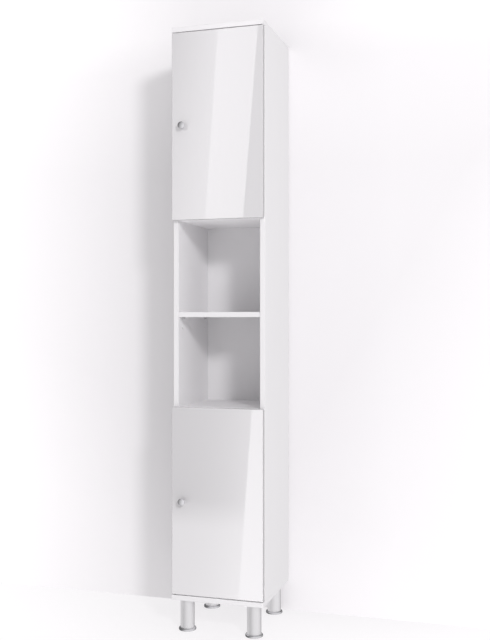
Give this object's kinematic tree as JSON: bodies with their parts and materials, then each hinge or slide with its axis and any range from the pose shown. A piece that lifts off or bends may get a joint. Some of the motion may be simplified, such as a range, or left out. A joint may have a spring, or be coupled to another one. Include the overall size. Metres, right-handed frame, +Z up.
{
  "type": "tall bathroom cabinet",
  "caption": "Tall narrow bathroom column cabinet in gloss white, with an upper and a lower hinged door, an open niche with a shelf between them and round metal levelling feet.",
  "frame": {"origin": "on the floor, in the middle of the footprint of the cabinet with its knobs", "axes": "+Z up, +X to the right of someone facing the doors, -Y out of the doors"},
  "size_m": [0.3, 0.332, 1.9],
  "materials": {
    "gloss_front": "smooth gloss white lacquer on board",
    "carcass_white": "satin white melamine on board",
    "back_board": "white faced hardboard",
    "knob_chrome": "polished chrome",
    "foot_chrome": "polished chrome",
    "leg_steel": "satin steel tube",
    "hinge_nickel": "nickel plated steel",
    "screw_steel": "zinc plated steel",
    "cam_zinc": "zinc die casting",
    "black_plastic": "black plastic",
    "dowel_beech": "fluted beech",
    "bumper_rubber": "clear soft bumper"
  },
  "bodies": {
    "cabinet": {"back_panel": "back_board", "bottom_panel": "gloss_front", "cam_bolts": "screw_steel", "cam_locks": "cam_zinc", "door_bumpers": "bumper_rubber", "front_left_leg_tube": "leg_steel", "front_right_leg_tube": "leg_steel", "hinge_arm_screws": "screw_steel", "hinge_plate_screws": "screw_steel", "left_side_panel": "carcass_white", "leg_bottom_plugs": "black_plastic", "leg_inserts": "screw_steel", "leg_top_plugs": "black_plastic", "lower_door_bottom_hinge_arm": "hinge_nickel", "lower_door_bottom_hinge_plate": "hinge_nickel", "lower_door_top_hinge_arm": "hinge_nickel", "lower_door_top_hinge_plate": "hinge_nickel", "lower_inner_shelf": "carcass_white", "lower_shelf_pins": "screw_steel", "niche_ceiling_panel": "carcass_white", "niche_floor_panel": "carcass_white", "niche_shelf": "carcass_white", "niche_shelf_pins": "screw_steel", "rear_left_leg_tube": "leg_steel", "rear_right_leg_tube": "leg_steel", "right_side_panel": "carcass_white", "top_panel": "gloss_front", "upper_door_bottom_hinge_arm": "hinge_nickel", "upper_door_bottom_hinge_plate": "hinge_nickel", "upper_door_top_hinge_arm": "hinge_nickel", "upper_door_top_hinge_plate": "hinge_nickel", "upper_inner_shelf": "carcass_white", "upper_shelf_pins": "screw_steel", "wall_bracket_screws": "screw_steel", "wall_brackets": "hinge_nickel", "wood_dowels": "dowel_beech"},
    "front_left_foot_body": {"front_left_foot": "foot_chrome"},
    "front_right_foot_body": {"front_right_foot": "foot_chrome"},
    "lower_door_leaf": {"lower_door": "gloss_front", "lower_door_bottom_hinge_cup": "hinge_nickel", "lower_door_cup_screws": "screw_steel", "lower_door_hinge_pins": "screw_steel", "lower_door_top_hinge_cup": "hinge_nickel", "lower_knob": "knob_chrome", "lower_knob_screw": "screw_steel"},
    "rear_left_foot_body": {"rear_left_foot": "foot_chrome"},
    "rear_right_foot_body": {"rear_right_foot": "foot_chrome"},
    "upper_door_leaf": {"upper_door": "gloss_front", "upper_door_bottom_hinge_cup": "hinge_nickel", "upper_door_cup_screws": "screw_steel", "upper_door_hinge_pins": "screw_steel", "upper_door_top_hinge_cup": "hinge_nickel", "upper_knob": "knob_chrome", "upper_knob_screw": "screw_steel"}
  },
  "joints": [
    {"name": "upper_door_swing", "type": "hinge", "parent": "cabinet", "child": "upper_door_leaf", "pos_m": [0.1425, -0.138, 1.588], "axis": [0, 0, 1], "range_deg": [0, 95]},
    {"name": "lower_door_swing", "type": "hinge", "parent": "cabinet", "child": "lower_door_leaf", "pos_m": [0.1425, -0.138, 0.412], "axis": [0, 0, 1], "range_deg": [0, 95]},
    {"name": "front_left_foot_level", "type": "slide", "parent": "cabinet", "child": "front_left_foot_body", "axis": [0, 0, -1], "range_m": [0, 0.015]},
    {"name": "front_right_foot_level", "type": "slide", "parent": "cabinet", "child": "front_right_foot_body", "axis": [0, 0, -1], "range_m": [0, 0.015]},
    {"name": "rear_left_foot_level", "type": "slide", "parent": "cabinet", "child": "rear_left_foot_body", "axis": [0, 0, -1], "range_m": [0, 0.015]},
    {"name": "rear_right_foot_level", "type": "slide", "parent": "cabinet", "child": "rear_right_foot_body", "axis": [0, 0, -1], "range_m": [0, 0.015]}
  ]
}
